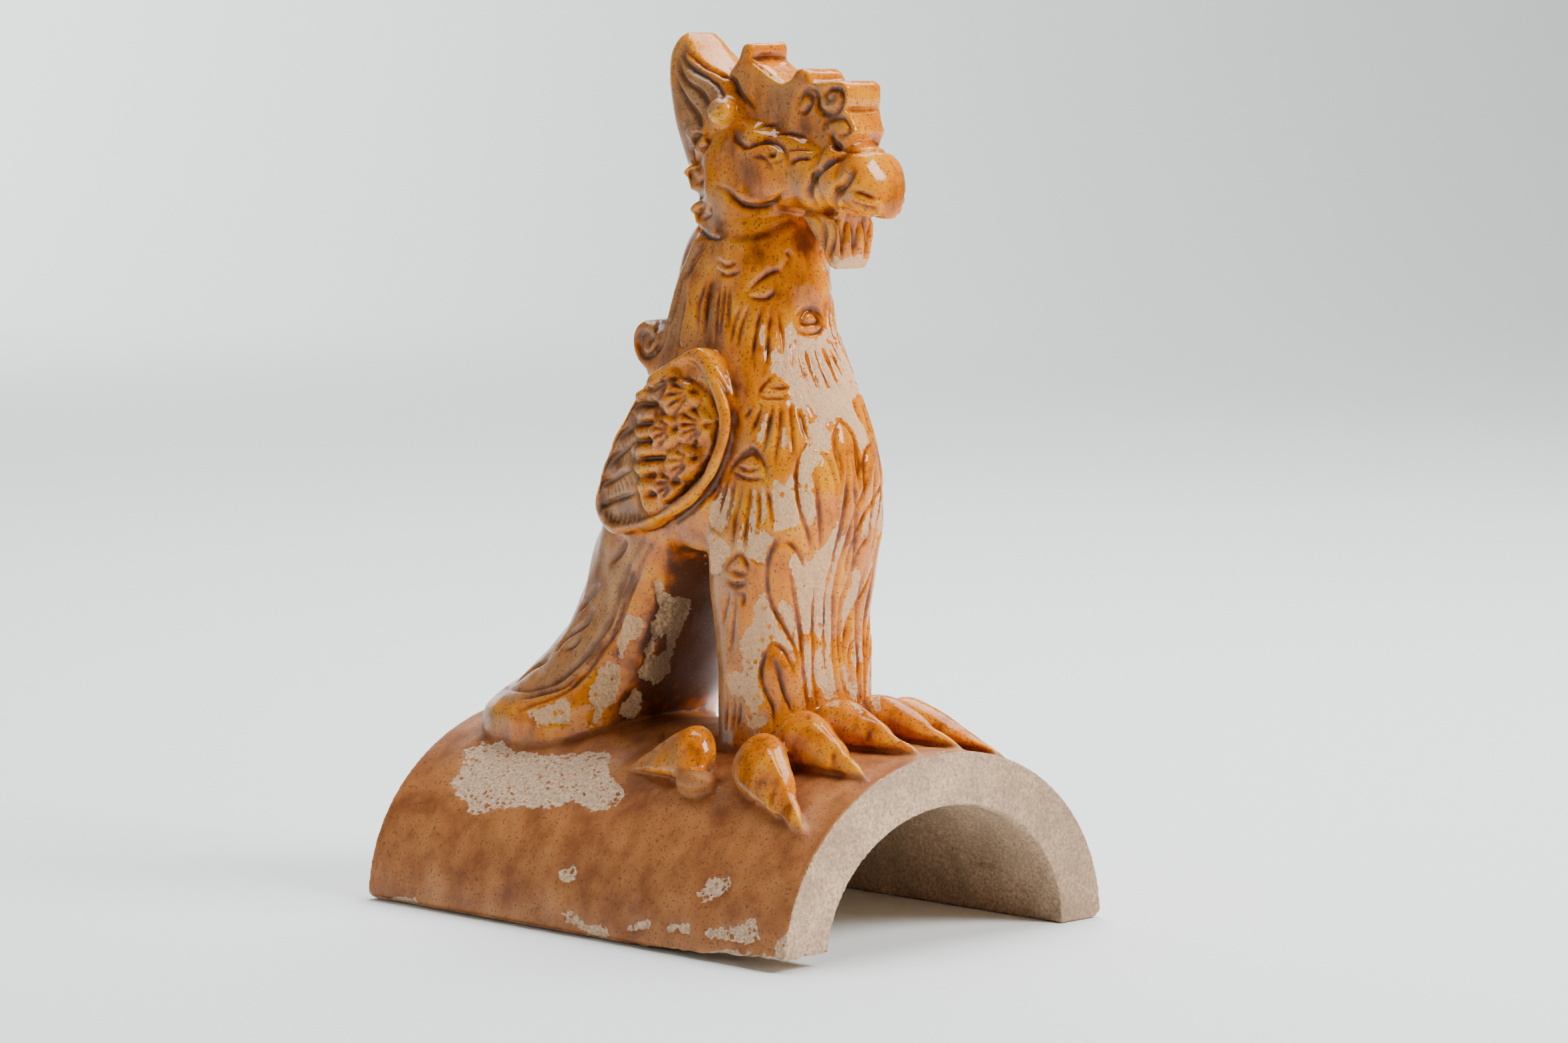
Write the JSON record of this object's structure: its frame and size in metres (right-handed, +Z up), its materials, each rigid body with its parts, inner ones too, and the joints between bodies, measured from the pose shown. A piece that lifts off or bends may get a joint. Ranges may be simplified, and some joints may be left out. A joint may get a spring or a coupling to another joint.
{
  "type": "ridge beast ornament",
  "caption": "Glazed phoenix seated on a half-round ridge tile, with folded wings, a scrolled crest and clawed toes.",
  "frame": {"origin": "middle of the underside of the tile, at the level of its two feet", "axes": "+Z up, the bird looks along -Y, +X is the bird's left, and the tile runs along Y"},
  "size_m": [0.15, 0.2, 0.2935],
  "materials": {
    "glazed_clay": "gloss"
  },
  "bodies": {
    "root": {"ridge_beast": "glazed_clay"}
  },
  "joints": []
}
